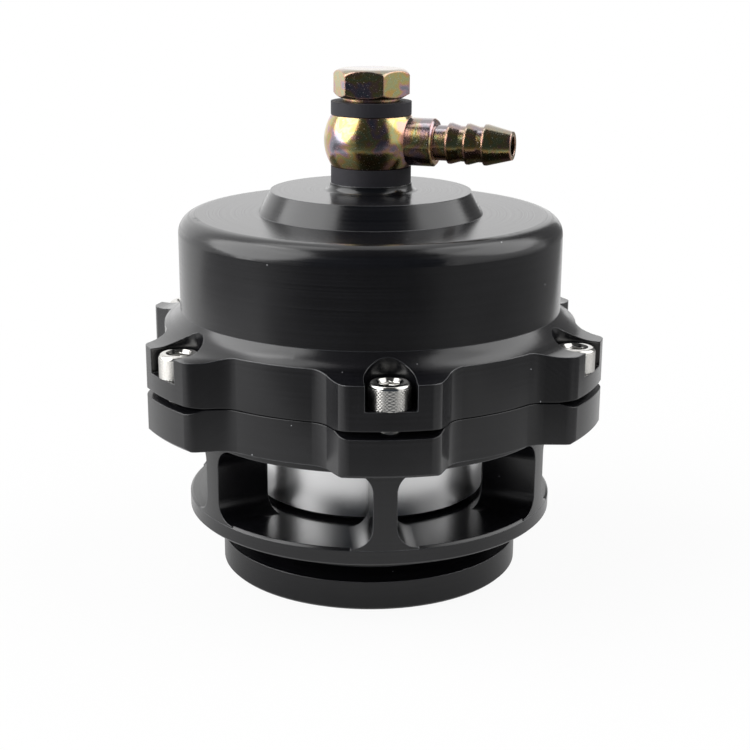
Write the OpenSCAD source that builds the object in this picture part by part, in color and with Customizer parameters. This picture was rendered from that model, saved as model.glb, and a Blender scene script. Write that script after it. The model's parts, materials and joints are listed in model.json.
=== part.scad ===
// Blow off valve for a turbocharged engine's charge pipe: a spring holds a piston shut on the inlet,
// and a diaphragm under the cap lifts it, so that air leaves through the windows round the body.
// Millimetres, +Z up. The inlet flange's face lies on z = 0, the valve's axis is Z, and one ear points to -Y.

/* [Inlet] */
// Radius of the flange that the pipe's band clamp grips
inlet_flange_r = 33.5; // [32:0.5:36]
// Height of that flange's straight rim
inlet_rim_h = 6.4; // [4:0.2:8]
// Slope of that flange's upper side, in degrees
clamp_slope = 20; // [15:1:25]
// Radius of the neck between the flange and the vent plate
neck_r = 29; // [27:0.5:30]
// Height of the clamp groove, from the rim to the vent plate
groove_h = 6.8; // [5:0.2:9]
// Width by which the inlet widens from its bore to its mouth
inlet_flare = 2.7; // [1.5:0.1:4]
// Height of the cone that leads from the mouth to the bore
inlet_cone_h = 9; // [6:0.5:11]

/* [Vented body] */
// Step from the cap's wall in to the body's wall
body_step = 1.1; // [0.2:0.05:2]
// Room round the piston inside the ribs
chamber_gap = 3; // [2:0.1:5]
// Thickness of the vent plate under the windows
vent_plate_t = 3.8; // [3:0.2:6]
// Height of the windows
window_h = 16.4; // [15:0.2:22]
// Radius of the windows' corners
window_corner_r = 4.5; // [2:0.5:6]
// Width of the ribs between the windows
rib_w = 5; // [4:0.2:8]
// Height of the wall from the windows up to the eared flange
lintel_h = 2.8; // [2:0.1:5]
// Thickness of the body's eared flange
body_flange_t = 8.9; // [8:0.1:12]
// Size of the broken edges on the turned rims
edge_break = 0.5; // [0.2:0.1:1]

/* [Ears] */
// Number of ears, ribs and cap screws
ear_count = 6; // [5:1:8]
// Width of the flange between the ears, outside the cap's wall
flange_ledge = 3.5; // [3.5:0.05:5.5]
// Metal from the screws' circle out to the ears' outer faces
ear_edge = 4.15; // [4:0.05:8]
// Width of an ear across its outer face, before its corners are rounded
ear_w = 19; // [17.6:0.2:20]
// Angle between an ear's side and its centre line, in degrees
ear_side_angle = 25; // [15:1:30]
// Radius of an ear's outer corners
ear_corner_r = 3.4; // [1.5:0.1:4]
// Radius of the fillet between an ear's side and the flange
ear_fillet_r = 6; // [3:0.1:7]
// Width of the slopes by which the ears of the cap and the body part
relief_w = 2.6; // [1.5:0.1:3]
// Height of that slope on the cap's ears
cap_relief = 0.7; // [0.4:0.1:1.2]
// Height of that slope on the body's ears
body_relief = 1; // [0.4:0.1:1.5]
// Gap between the cap and the body round their edge
split_gap = 0.25; // [0.1:0.05:0.35]
// Depth of that gap in from the flange's edge
split_depth = 1.5; // [0.5:0.1:2]

/* [Cap] */
// Height of the cap's ears
cap_ear_h = 9.85; // [9:0.05:13]
// Wall of the cap
cap_wall = 4.5; // [3:0.05:6]
// Height of the cap from the split to its flat top
cap_h = 34.55; // [32:0.05:44]
// Radius of the cap's rounded top edge
cap_edge_r = 4; // [2:0.2:6]
// Radius of the hollow sweep from the ears up to the cap's wall
sweep_r = 10.2; // [9:0.1:11.5]
// Width of the flat that the sweep leaves along the ears' outer edge
sweep_land = 1.8; // [0.6:0.1:2.5]
// Thickness of the cap's crown
crown_t = 6.2; // [5:0.1:8]
// Radius of the round between the crown and the cap's inner wall
crown_fillet_r = 3; // [1:0.2:5]
// Radius of the boss's foot on the cap
boss_base_r = 24.6; // [23.5:0.1:28]
// Width by which the boss narrows to its top
boss_taper = 2.7; // [0.5:0.1:6]
// Height of the boss
boss_h = 4.85; // [3:0.05:8]
// Width of the raised seat round the port, outside the sealing washer
port_ledge = 0.2; // [0.1:0.05:1]
// Height of that seat
port_seat_h = 1.75; // [1.5:0.05:4]
// Radius of the fillet at the seat's foot
port_fillet_r = 1.3; // [0.8:0.1:1.4]

/* [Cap screws] */
// Distance from the cap's wall to the screws' pockets
pocket_gap = 0.75; // [0.1:0.05:1]
// Radius of a screw's thread
screw_r = 2.5; // [2:0.5:3]
// Radius of a screw's head
screw_head_r = 4.25; // [3.8:0.05:4.6]
// Height of a screw's head
screw_head_h = 5; // [4:0.1:6]
// Length of a screw under its head
screw_l = 14; // [13:0.5:18]
// Width across flats of a screw's socket
socket_w = 4; // [3:0.5:4.5]
// Depth of a screw's socket
socket_depth = 2.6; // [1.5:0.1:3.5]
// Thickness of the cap's ear under a screw's head
screw_seat_t = 4.6; // [3:0.1:5]
// Room round a screw's head in its pocket
pocket_play = 0.85; // [0.4:0.05:1]
// Room round a screw in the cap's ear
screw_hole_play = 0.25; // [0.1:0.05:0.5]

/* [Piston] */
// Radius of the piston
piston_r = 25.7; // [24:0.1:27]
// Wall of the piston's skirt
piston_wall = 3.2; // [2.5:0.1:4.5]
// Thickness of the piston's closed end above its seal
piston_end_t = 3; // [2:0.2:5]
// Gap between the piston's lip and the vent plate when shut
lip_gap = 1.1; // [0.4:0.1:1.3]
// Thickness of the lip outside the seal
lip_t = 0.7; // [0.5:0.05:1.2]
// Length of the spigot that enters the inlet
spigot_l = 2; // [1:0.2:4]
// Room round the spigot
spigot_play = 0.3; // [0.2:0.05:0.6]
// Cord diameter of the piston's seal
valve_seal_d = 2.4; // [2:0.1:3]
// Width of the piston's top flange
piston_flange_w = 3.1; // [2:0.1:3.6]
// Thickness of that flange
piston_flange_t = 1; // [0.8:0.1:2]
// Radius of the boss that takes the retainer's bolt
piston_boss_r = 7; // [6:0.2:9]
// Height that the piston lifts
lift = 12; // [8:0.5:13]

/* [Guide] */
// Room between the piston and its guide
guide_play = 0.3; // [0.2:0.05:0.5]
// Height of the low-friction band
bush_w = 2; // [1.6:0.1:3]
// Thickness of that band
bush_t = 1.5; // [1.2:0.1:2]
// Cord diameter of the guide's seal
guide_seal_d = 1.8; // [1.5:0.1:2.4]
// Height of the lands beside the guide's grooves
guide_land = 0.75; // [0.5:0.05:1.5]
// Wall of the guide behind its grooves
guide_wall = 2.2; // [1.5:0.1:3]

/* [Diaphragm] */
// Width of the diaphragm's fold
fold_w = 7.1; // [6:0.1:9]
// Thickness of the diaphragm
diaphragm_t = 1.4; // [1:0.1:1.6]
// Metal between the diaphragm's clamped rim and the screws
rim_gap = 2.95; // [1:0.05:3.2]
// Room between the diaphragm's fold and the metal
fold_play = 0.3; // [0.2:0.05:0.5]
// Thickness of the retainer plate
retainer_t = 2; // [1.5:0.1:3]
// Width by which the retainer plate reaches past the piston
retainer_lap = 2.2; // [1:0.1:2.8]
// Height of the retainer plate's rim
retainer_rim_h = 5; // [3:0.2:7]
// Wall of that rim
retainer_rim_t = 1.6; // [1.2:0.1:1.8]

/* [Retainer bolt] */
// Radius of the bolt's thread
bolt_r = 4; // [3:0.5:5]
// Width across flats of the bolt's head
bolt_head_w = 13; // [11:0.5:14]
// Height of the bolt's head
bolt_head_h = 5.3; // [4:0.1:6]
// Length of the bolt under its head
bolt_l = 20; // [16:1:22]
// Radius of the bolt's washer
bolt_washer_r = 8; // [7.5:0.1:10]
// Thickness of the bolt's washer
bolt_washer_t = 1.6; // [1.2:0.1:2]

/* [Spring] */
// Room between the spring and the retainer plate's rim
spring_gap = 1.9; // [0.5:0.1:3]
// Diameter of the spring's wire
wire_d = 2.8; // [2:0.1:3]
// Number of working turns
spring_turns = 3.5; // [2.5:0.5:4]
// Depth of the spring's seat in the cap's crown
spring_seat_h = 1.2; // [0.6:0.1:2]
// Room beside the spring in its seat
spring_play = 0.4; // [0.2:0.05:0.6]
// Radius of the stop inside the spring
stop_r = 12; // [10:0.5:16]

/* [Hose fitting] */
// Direction of the hose stem, in degrees from +X
stem_angle = -23; // [-180:1:180]
// Radius of the fitting's ball
ball_r = 10.2; // [9.6:0.1:11]
// Height of the ball between its flats
ball_h = 11; // [10.4:0.1:12.6]
// Radius of the sealing washers
seal_r = 8.7; // [8:0.1:9]
// Thickness of the sealing washer under the ball
lower_seal_t = 3.5; // [1.5:0.05:4]
// Thickness of the sealing washer on the ball
upper_seal_t = 2.75; // [1.5:0.05:3.5]
// Radius of the stem's collar
collar_r = 5.1; // [4.5:0.1:5.3]
// Reach of the collar from the valve's axis
collar_reach = 14.7; // [13:0.1:16.5]
// Radius of the stem between its barbs
stem_r = 3.75; // [3.4:0.05:4]
// Radius of the barbs' crests
barb_r = 4.35; // [4.1:0.05:4.8]
// Number of barbs
barb_count = 3; // [2:1:4]
// Reach of the first barb's crest from the valve's axis
barb_start = 17.7; // [17.2:0.1:20]
// Distance from one barb to the next
barb_pitch = 3.9; // [3.5:0.05:5]
// Width of the flat land on each crest
barb_land = 0.5; // [0.3:0.05:0.8]
// Reach of the stem's tip from the valve's axis
stem_reach = 31.4; // [30:0.1:40]
// Radius of the stem at its tip
tip_r = 3; // [2.8:0.05:3.4]
// Radius of the air passage
passage_r = 2.1; // [1.5:0.1:2.4]

/* [Fitting bolt] */
// Radius of the hollow bolt's thread
hollow_bolt_r = 5; // [4.5:0.5:5.5]
// Width across flats of its head
hollow_head_w = 14.5; // [13:0.5:17]
// Height of the hexagon
hollow_head_h = 6.1; // [5:0.1:8]
// Radius of the round bearing face under the hexagon
hollow_face_r = 6.2; // [5.8:0.1:7.5]
// Height of that face
hollow_face_h = 0.8; // [0.4:0.1:1.2]
// Length of its thread in the cap
hollow_thread_l = 9; // [7:0.5:10]
// Room round the bolt in the turning ball
swivel_play = 0.08; // [0.04:0.01:0.1]

/* [Hidden] */
$fn = 96;
// Room left between parts that are screwed, pressed or laid together
seat_play = 0.05;
// Overlap that lets solids of one piece join
weld = 0.4;
// Length by which a cutter runs past the face it cuts
past = 1;
// Depth by which a rounding cuts into the faces it joins, so that they meet at a clean edge
bite = 0.02;

// Radii from the piston out: guide, diaphragm's fold, cap, screws and ears
bush_groove_r = piston_r + 2 * seat_play + bush_t;
guide_bore_r = piston_r + guide_play;
guide_seal_r = piston_r + seat_play + guide_seal_d / 2;
guide_r = max(bush_groove_r, guide_seal_r + guide_seal_d / 2 + seat_play) + guide_wall;
fold_in_r = guide_r + fold_play;
fold_out_r = fold_in_r + fold_w;
fold_mid_r = (fold_in_r + fold_out_r) / 2;
fold_r = fold_w / 2;
working_r = fold_out_r + fold_play;
cap_r = working_r + cap_wall;
pocket_r = screw_head_r + pocket_play;
screw_circle_r = cap_r + pocket_gap + pocket_r;
diaphragm_r = screw_circle_r - screw_r - rim_gap;
flange_r = cap_r + flange_ledge;
joint_r = flange_r - split_depth;
ear_tip_r = screw_circle_r + ear_edge;
ear_relief_r = ear_tip_r - relief_w;
sweep_end_r = ear_tip_r - sweep_land;
body_r = cap_r - body_step;
chamber_r = piston_r + chamber_gap;

// Radii of what the piston carries, and of the boss and its port
piston_flange_r = piston_r + piston_flange_w;
retainer_r = piston_r + retainer_lap;
spring_r = retainer_r - retainer_rim_t - spring_gap - wire_d / 2;
boss_top_r = boss_base_r - boss_taper;
port_seat_r = seal_r + port_ledge;

// An ear's side is a straight line that runs inwards from the corner of its outer face
ear_corner = [sqrt(pow(ear_tip_r, 2) - pow(ear_w / 2, 2)), ear_w / 2];
side_in = [-cos(ear_side_angle), sin(ear_side_angle)];
side_out = [sin(ear_side_angle), cos(ear_side_angle)];
// Depth to which the filling at an ear's root reaches into the ear and the flange
root_depth = 2.5;

// Heights up the body
vent_plate_z = inlet_rim_h + groove_h;
floor_z = vent_plate_z + vent_plate_t;
window_top_z = floor_z + window_h;
flange_z = window_top_z + lintel_h;
split_z = flange_z + body_flange_t;

// Heights up the cap
ear_top_z = split_z + cap_ear_h;
cap_top_z = split_z + cap_h;
ceiling_z = cap_top_z - crown_t;
boss_top_z = cap_top_z + boss_h;
port_z = boss_top_z + port_seat_h;
sweep_z = ear_top_z + sweep_r;
crease_z = sweep_z - sqrt(pow(sweep_r, 2) - pow(sweep_end_r - cap_r, 2));

// Height of the screws' seats in their pockets
screw_seat_z = split_z + screw_seat_t;

// The piston's seal and the inlet that it shuts
seal_groove_w = valve_seal_d + 2 * seat_play;
seal_groove_r = piston_r - lip_t;
spigot_r = seal_groove_r - seal_groove_w;
inlet_bore_r = spigot_r + spigot_play;
inlet_mouth_r = inlet_bore_r + inlet_flare;
seal_z = floor_z + seat_play + valve_seal_d / 2;
seal_groove_z = seal_z + valve_seal_d / 2 + seat_play;
piston_end_z = seal_groove_z + piston_end_t;

// The guide's grooves, from the bottom up
bush_z = window_top_z + guide_land;
guide_seal_h = guide_seal_d + 2 * seat_play;
guide_seal_z = bush_z + bush_w + 2 * seat_play + guide_land;
guide_top_z = guide_seal_z + guide_seal_h + guide_land;

// The stack that the retainer's bolt holds together
guide_gap = 0.5;
piston_top_z = guide_top_z + guide_gap + piston_flange_t;
retainer_z = piston_top_z + diaphragm_t;
retainer_top_z = retainer_z + retainer_t;
bolt_head_z = retainer_top_z + bolt_washer_t;
bolt_top_z = bolt_head_z + bolt_head_h;
bolt_end_z = bolt_head_z - bolt_l;
bolt_hole_play = 0.2;
stop_play = 0.3;
stop_z = bolt_top_z + lift + stop_play;

// The diaphragm's fold, half a ring that hangs between the guide and the working space's wall
fold_z = piston_top_z + diaphragm_t / 2;
dish_z = fold_z - fold_r - fold_play;
rim_z = split_z - diaphragm_t - seat_play;

// The spring between the retainer plate and the cap
spring_z = retainer_top_z + seat_play;
spring_top_z = ceiling_z + spring_seat_h - seat_play;
spring_l = spring_top_z - spring_z;
// Height of the wire's middle above the spring's ends, which are ground flat
ground = 0.2 * wire_d;
// Rise of the closed turn at each end
end_rise = 1.04 * wire_d;

// The hose fitting's stack
swivel_gap = 0.05;
ball_z = port_z + lower_seal_t + swivel_gap;
stem_z = ball_z + ball_h / 2;
upper_seal_z = ball_z + ball_h + swivel_gap;
hollow_head_z = upper_seal_z + upper_seal_t;
hollow_end_z = port_z - hollow_thread_l;
tap_depth = hollow_thread_l + 2;

black = "#1b1c1f";
silver = "#d4d5d6";
steel = "#b9bcbf";
gold = "#c9b26a";
rubber = "#2a282c";

// Places children at each ear, with their own +X pointing out of it
module at_ears() {
    for (i = [0 : ear_count - 1])
        rotate(-90 + i * 360 / ear_count)
            children();
}

// Draws children on both sides of an ear's centre line
module both_sides() {
    children();
    mirror([0, 1])
        children();
}

// Half section of a ring: inner and outer radius, lower and upper height
module band(r0, r1, z0, z1) {
    translate([r0, z0])
        square([r1 - r0, z1 - z0]);
}

// Half section of a ring with its upper outer edge rounded
module round_band(r0, r1, z0, z1, e) {
    band(r0, r1, z0, z1 - e);
    band(r0, r1 - e, z0, z1);
    translate([r1 - e, z1 - e])
        circle(e);
}

// Point on the line of an ear's side, moved out by d, where it comes to radius r from the valve's axis
function on_side(d, r) =
    let (p = ear_corner + d * side_out)
    let (b = p * side_in)
    p + (-b - sqrt(b * b - p * p + r * r)) * side_in;

// What is cut from an ear's outer corner to round it
module ear_corner_cut() {
    centre = on_side(-ear_corner_r, ear_tip_r - ear_corner_r);
    side_end = centre + ear_corner_r * side_out;
    tip_end = centre * ear_tip_r / (ear_tip_r - ear_corner_r);
    difference() {
        polygon([centre, side_end, side_end + ear_corner_r * side_out,
            2 * ear_corner - centre, 2 * tip_end - centre, tip_end]);
        translate(centre)
            circle(ear_corner_r + bite);
    }
}

// Fills the corner between an ear's side and the flange, up to its fillet
module ear_root() {
    centre = on_side(ear_fillet_r, flange_r + ear_fillet_r);
    in_ear = centre - (ear_fillet_r + root_depth) * side_out;
    in_flange = centre * (flange_r - root_depth) / (flange_r + ear_fillet_r);
    difference() {
        polygon([in_ear, centre, in_flange]);
        translate(centre)
            circle(ear_fillet_r + bite);
    }
}

// One ear in plan, pointing along +X
module ear() {
    tip = on_side(0, ear_tip_r + past);
    root = on_side(0, flange_r - ear_fillet_r);
    difference() {
        union() {
            intersection() {
                circle(ear_tip_r);
                polygon([tip, root, [root[0], -root[1]], [tip[0], -tip[1]]]);
            }
            both_sides()
                ear_root();
        }
        both_sides()
            ear_corner_cut();
    }
}

// Plan of the eared flange that the body and the cap share
module ear_plan() {
    circle(flange_r);
    at_ears()
        ear();
}

// Section of the body below the windows: clamp flange, groove and vent plate round the inlet
module inlet_section() {
    polygon([
        [inlet_mouth_r, 0],
        [inlet_flange_r - edge_break, 0],
        [inlet_flange_r, edge_break],
        [inlet_flange_r, inlet_rim_h],
        [neck_r, inlet_rim_h + (inlet_flange_r - neck_r) * tan(clamp_slope)],
        [neck_r, vent_plate_z],
        [body_r - edge_break, vent_plate_z],
        [body_r, vent_plate_z + edge_break],
        [body_r, floor_z - edge_break],
        [body_r - edge_break, floor_z],
        [inlet_bore_r, floor_z],
        [inlet_bore_r, inlet_cone_h]
    ]);
}

// Section of the body above the windows: lintel, eared flange, diaphragm's dish and piston's guide
module flange_section() {
    difference() {
        polygon([
            [guide_bore_r, window_top_z],
            [body_r, window_top_z],
            [body_r, flange_z],
            [ear_tip_r - edge_break, flange_z],
            [ear_tip_r, flange_z + edge_break],
            [ear_tip_r, split_z - body_relief],
            [ear_relief_r, split_z],
            [diaphragm_r + seat_play, split_z],
            [diaphragm_r + seat_play, rim_z],
            [working_r, rim_z],
            [working_r, dish_z],
            [guide_r, dish_z],
            [guide_r, guide_top_z],
            [guide_bore_r, guide_top_z]
        ]);
        band(piston_r, bush_groove_r, bush_z, bush_z + bush_w + 2 * seat_play);
        band(piston_r, guide_seal_r + guide_seal_d / 2 + seat_play, guide_seal_z,
            guide_seal_z + guide_seal_h);
    }
}

// Section across a rib, widened at its foot and head by the windows' rounded corners
module rib_section() {
    foot_w = rib_w + 2 * window_corner_r;
    straight_h = window_h - 2 * (window_corner_r - bite);
    difference() {
        translate([-foot_w / 2, -weld])
            square([foot_w, window_h + 2 * weld]);
        for (side = [-1, 1])
            translate([side * foot_w / 2, window_corner_r - bite]) {
                circle(window_corner_r);
                translate([-window_corner_r, 0])
                    square([2 * window_corner_r, straight_h]);
                translate([0, straight_h])
                    circle(window_corner_r);
            }
    }
}

// The ribs between the windows, cut to the wall of the vent chamber
module ribs() {
    intersection() {
        rotate_extrude()
            band(chamber_r, body_r, floor_z - weld, window_top_z + weld);
        at_ears()
            translate([0, 0, floor_z])
                rotate([90, 0, 90])
                    linear_extrude(body_r + past)
                        rib_section();
    }
}

module valve_body() {
    color(black)
        difference() {
            union() {
                rotate_extrude()
                    inlet_section();
                ribs();
                intersection() {
                    rotate_extrude()
                        flange_section();
                    linear_extrude(split_z + past)
                        ear_plan();
                }
            }
            at_ears()
                translate([screw_circle_r, 0, flange_z - past])
                    cylinder(r = screw_r + seat_play, h = body_flange_t + 2 * past);
        }
}

// Low-friction band that the piston slides in, split so that it can be sprung into its groove
module guide_bush() {
    bush_in_r = piston_r + seat_play;
    bush_gap = 1;
    color("white")
        difference() {
            rotate_extrude()
                band(bush_in_r, bush_in_r + bush_t, bush_z + seat_play, bush_z + seat_play + bush_w);
            translate([0, -bush_gap / 2, bush_z])
                cube([bush_groove_r + past, bush_gap, bush_w + past]);
        }
}

module guide_seal() {
    color(rubber)
        rotate_extrude()
            translate([guide_seal_r, guide_seal_z + guide_seal_h / 2])
                circle(d = guide_seal_d);
}

module valve_piston() {
    skirt_in_r = piston_r - piston_wall;
    nose_z = floor_z - spigot_l;
    color(silver)
        rotate_extrude()
            difference() {
                union() {
                    band(0, spigot_r, nose_z + edge_break, seal_groove_z + weld);
                    polygon([[0, nose_z], [spigot_r - edge_break, nose_z],
                        [spigot_r, nose_z + edge_break], [0, nose_z + edge_break]]);
                    band(0, piston_r, seal_groove_z, piston_end_z);
                    band(seal_groove_r, piston_r, floor_z + lip_gap, piston_end_z);
                    band(skirt_in_r, piston_r, seal_groove_z, piston_top_z);
                    band(skirt_in_r, piston_flange_r, piston_top_z - piston_flange_t, piston_top_z);
                    band(0, piston_boss_r, seal_groove_z, piston_top_z);
                }
                band(0, bolt_r + seat_play, bolt_end_z - past, piston_top_z + past);
            }
}

module valve_seal() {
    color(rubber)
        rotate_extrude()
            translate([(spigot_r + seal_groove_r) / 2, seal_z])
                circle(d = valve_seal_d);
}

// Moulded rubber sheet: flat middle, one hanging fold, and a flat rim that the cap clamps
module diaphragm() {
    color(rubber)
        rotate_extrude() {
            band(bolt_r + bolt_hole_play, fold_in_r + diaphragm_t, piston_top_z, retainer_z);
            difference() {
                intersection() {
                    translate([fold_mid_r, fold_z])
                        circle(fold_r);
                    band(fold_in_r, fold_out_r, fold_z - fold_r, fold_z);
                }
                translate([fold_mid_r, fold_z])
                    circle(fold_r - diaphragm_t);
            }
            band(fold_out_r - diaphragm_t, fold_out_r, fold_z, rim_z + diaphragm_t);
            band(fold_out_r - diaphragm_t, diaphragm_r, rim_z, rim_z + diaphragm_t);
        }
}

// Pressed steel cup that clamps the diaphragm to the piston and seats the spring
module retainer_plate() {
    color(steel)
        rotate_extrude()
            difference() {
                union() {
                    band(bolt_r + bolt_hole_play, retainer_r, retainer_z, retainer_top_z);
                    band(retainer_r - retainer_rim_t, retainer_r, retainer_z, retainer_z + retainer_rim_h);
                }
                difference() {
                    band(retainer_r - retainer_t, retainer_r + past, retainer_z - past, retainer_top_z);
                    translate([retainer_r - retainer_t, retainer_top_z])
                        circle(retainer_t);
                }
            }
}

module retainer_washer() {
    color(steel)
        rotate_extrude()
            band(bolt_r + bolt_hole_play, bolt_washer_r, retainer_top_z, bolt_head_z);
}

// Hexagonal bolt head on z = 0: its corners are rounded off above and bevelled below
module hex_head(w, h) {
    corner_r = w / sqrt(3);
    flat_r = 0.41 * w;
    drop = 0.09 * w;
    dome_r = (pow(corner_r - flat_r, 2) + pow(drop, 2)) / (2 * drop);
    bearing_r = 0.475 * w;
    intersection() {
        cylinder(r = corner_r, h = h, $fn = 6);
        rotate_extrude()
            intersection() {
                round_band(0, flat_r + dome_r, 0, h, dome_r);
                polygon([[0, 0], [bearing_r, 0], [2 * corner_r, (2 * corner_r - bearing_r) * tan(30)],
                    [2 * corner_r, h], [0, h]]);
            }
    }
}

// Plain bolt shank that hangs from z = 0 and ends in a chamfer
module shank(r, l) {
    rotate_extrude()
        polygon([[0, weld], [r, weld], [r, edge_break - l], [r - edge_break, -l], [0, -l]]);
}

module retainer_bolt() {
    color(steel)
        translate([0, 0, bolt_head_z]) {
            hex_head(bolt_head_w, bolt_head_h);
            shank(bolt_r, bolt_l);
        }
}

// Height of the wire's middle at turn t: a flat turn at each end, and even turns between them
function wire_height(t) =
    let (working_rise = spring_l - 2 * ground - 2 * end_rise)
    ground + end_rise * (min(t, 1) + max(t - 1 - spring_turns, 0))
        + working_rise * min(max(t - 1, 0), spring_turns) / spring_turns;

// Coil spring with closed ends, ground flat
module spring() {
    sides = 10;
    rings_per_turn = 26;
    rings = ceil((spring_turns + 2) * rings_per_turn);
    points = [for (i = [0 : rings]) for (k = [0 : sides - 1])
        let (turn = i / rings_per_turn)
        let (r = spring_r + wire_d / 2 * cos(k * 360 / sides))
        [r * cos(360 * turn), r * sin(360 * turn), wire_height(turn) + wire_d / 2 * sin(k * 360 / sides)]];
    walls = [for (i = [0 : rings - 1]) for (k = [0 : sides - 1])
        let (a = i * sides + k)
        let (b = i * sides + (k + 1) % sides)
        each [[a, a + sides, b], [b, a + sides, b + sides]]];
    first_end = [for (k = [0 : sides - 1]) k];
    last_end = [for (k = [sides - 1 : -1 : 0]) rings * sides + k];
    color(steel)
        translate([0, 0, spring_z])
            intersection() {
                polyhedron(points, concat([first_end, last_end], walls));
                cylinder(r = spring_r + wire_d, h = spring_l);
            }
}

// Section of the cap's outside, solid to the axis
module cap_outside() {
    difference() {
        band(0, ear_tip_r, split_z, crease_z);
        translate([sweep_end_r, sweep_z])
            circle(sweep_r);
        band(sweep_end_r, ear_tip_r + past, ear_top_z, crease_z + past);
    }
    round_band(0, cap_r, split_z, cap_top_z, cap_edge_r);
    polygon([[0, cap_top_z - weld], [boss_base_r, cap_top_z - weld], [boss_base_r, cap_top_z],
        [boss_top_r, boss_top_z], [0, boss_top_z]]);
    band(0, port_seat_r, boss_top_z - weld, port_z);
    difference() {
        band(0, port_seat_r + port_fillet_r, boss_top_z - weld, boss_top_z + port_fillet_r);
        translate([port_seat_r + port_fillet_r, boss_top_z + port_fillet_r])
            circle(port_fillet_r);
    }
}

// Section of what is cut from the cap: working space round the lift stop, spring's seat, port and split
module cap_inside() {
    difference() {
        union() {
            round_band(0, working_r, split_z - past, ceiling_z, crown_fillet_r);
            band(spring_r - wire_d / 2 - spring_play, spring_r + wire_d / 2 + spring_play,
                ceiling_z - past, ceiling_z + spring_seat_h);
        }
        band(0, stop_r, stop_z, ceiling_z + past);
    }
    band(0, hollow_bolt_r + seat_play, port_z - tap_depth, port_z + past);
    band(0, passage_r, stop_z - past, port_z);
    polygon([
        [joint_r, split_z - past],
        [joint_r, split_z + split_gap],
        [ear_relief_r, split_z + split_gap],
        [ear_tip_r, split_z + cap_relief],
        [ear_tip_r + past, split_z + cap_relief],
        [ear_tip_r + past, split_z - past]
    ]);
}

// Pocket for one screw's head, open to the ear's outer face, with the hole below it
module screw_pocket() {
    height = crease_z + past - screw_seat_z;
    translate([screw_circle_r, 0, screw_seat_z]) {
        cylinder(r = pocket_r, h = height);
        translate([0, -pocket_r, 0])
            cube([ear_tip_r, 2 * pocket_r, height]);
        translate([0, 0, -screw_seat_t - past])
            cylinder(r = screw_r + screw_hole_play, h = screw_seat_t + 2 * past);
    }
}

module top_cap() {
    // Slot that keeps the port open when the retainer's bolt meets the stop
    slot_w = 3;
    slot_h = 2;
    color(black)
        difference() {
            intersection() {
                rotate_extrude()
                    difference() {
                        cap_outside();
                        cap_inside();
                    }
                linear_extrude(port_z + past)
                    ear_plan();
            }
            at_ears()
                screw_pocket();
            translate([-stop_r - past, -slot_w / 2, stop_z - past])
                cube([2 * (stop_r + past), slot_w, slot_h + past]);
        }
}

// Socket head cap screws, one in each ear
module cap_screws() {
    head_round = 0.9;
    // Depth of the cone that leads into the socket
    mouth_h = 0.8;
    mouth_r = socket_w / 2 / cos(30) + mouth_h / 2;
    color(steel)
        at_ears()
            translate([screw_circle_r, 0, screw_seat_z]) {
                difference() {
                    rotate_extrude()
                        round_band(0, screw_head_r, 0, screw_head_h, head_round);
                    translate([0, 0, screw_head_h - socket_depth])
                        cylinder(d = socket_w / cos(30), h = socket_depth + past, $fn = 6);
                    translate([0, 0, screw_head_h - mouth_h])
                        cylinder(r1 = mouth_r - mouth_h, r2 = mouth_r + past, h = mouth_h + past);
                }
                shank(screw_r, screw_l);
            }
}

// Sealing washer of thickness t with its lower face at height z
module seal_washer(z, t) {
    seal_hole_play = 0.15;
    color(rubber)
        rotate_extrude()
            band(hollow_bolt_r + seal_hole_play, seal_r, z, z + t);
}

module lower_seal_washer() {
    seal_washer(port_z, lower_seal_t);
}

module upper_seal_washer() {
    seal_washer(upper_seal_z, upper_seal_t);
}

// Half outline of the hose stem along its own axis: collar, saw-tooth barbs and tapered tip
module stem_outline() {
    // Length of the slope behind a crest
    slope_l = 2;
    collar_round = 0.4;
    barbs = [for (i = [0 : barb_count - 1])
        let (x = barb_start + i * barb_pitch)
        let (last = i == barb_count - 1)
        each [[stem_r, x], [barb_r, x], [barb_r, x + barb_land],
            last ? [tip_r, stem_reach] : [stem_r, x + barb_land + slope_l]]];
    polygon(concat(
        [[0, 0], [collar_r, 0], [collar_r, collar_reach - collar_round],
            [collar_r - collar_round, collar_reach], [stem_r, collar_reach]],
        barbs, [[0, stem_reach]]));
}

// Ball eye that turns on the hollow bolt, with its barbed hose stem
module banjo_fitting() {
    // Ring-shaped space round the bolt that carries the air to the stem
    eye_groove_r = hollow_bolt_r + 1.2;
    eye_groove_h = 5;
    color(gold)
        difference() {
            union() {
                rotate_extrude()
                    intersection() {
                        translate([0, stem_z])
                            circle(ball_r);
                        band(0, ball_r, ball_z, ball_z + ball_h);
                    }
                translate([0, 0, stem_z])
                    rotate([0, 90, stem_angle])
                        rotate_extrude()
                            stem_outline();
            }
            rotate_extrude() {
                band(0, hollow_bolt_r + swivel_play, ball_z - past, ball_z + ball_h + past);
                band(0, eye_groove_r, stem_z - eye_groove_h / 2, stem_z + eye_groove_h / 2);
            }
            translate([0, 0, stem_z])
                rotate([0, 90, stem_angle])
                    cylinder(r = passage_r, h = stem_reach + past);
        }
}

// Hollow bolt that holds the fitting to the cap and leads the air down into it
module banjo_bolt() {
    head_turn = -17;
    cross_hole_r = 1.6;
    length = hollow_head_z - hollow_end_z;
    color(gold)
        difference() {
            translate([0, 0, hollow_head_z]) {
                translate([0, 0, hollow_face_h])
                    rotate(head_turn)
                        hex_head(hollow_head_w, hollow_head_h);
                cylinder(r = hollow_face_r, h = hollow_face_h + weld);
                shank(hollow_bolt_r, length);
            }
            translate([0, 0, hollow_end_z - past])
                cylinder(r = passage_r, h = stem_z - hollow_end_z + past + 2 * cross_hole_r);
            for (turn = [0, 90])
                translate([0, 0, stem_z])
                    rotate([0, 90, turn])
                        cylinder(r = cross_hole_r, h = 3 * hollow_bolt_r, center = true);
        }
}

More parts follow.
